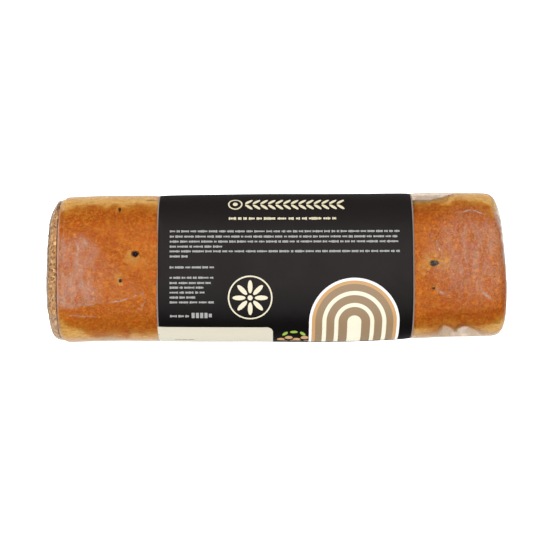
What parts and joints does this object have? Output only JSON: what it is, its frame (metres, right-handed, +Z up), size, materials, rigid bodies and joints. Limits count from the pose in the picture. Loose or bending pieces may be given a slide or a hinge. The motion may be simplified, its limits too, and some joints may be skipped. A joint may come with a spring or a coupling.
{
  "type": "wrapped walnut roll",
  "caption": "Baked walnut roll in a tight clear wrap with a dark label band: domed top, flat underside, rolled layers showing at the ends.",
  "frame": {"origin": "middle of the underside", "axes": "+X along the roll, from the end that bulges out of its crust to the rounded end; +Z up through the domed top"},
  "size_m": [0.296, 0.0967, 0.0722],
  "materials": {
    "crust": "golden-brown baked crust, mottled, satin",
    "dough": "pale baked dough, porous",
    "walnut_filling": "ground walnut filling, crumbly, matt",
    "clear_film": "clear glossy wrapping film with creases and heat seals",
    "label_black": "black printed label, satin sheen",
    "label_cream": "cream printed field, satin sheen",
    "label_print": "pale printed bars and shapes, satin sheen"
  },
  "bodies": {
    "root": {"wrapped_roll": "crust", "label_band": "label_black"}
  },
  "joints": []
}
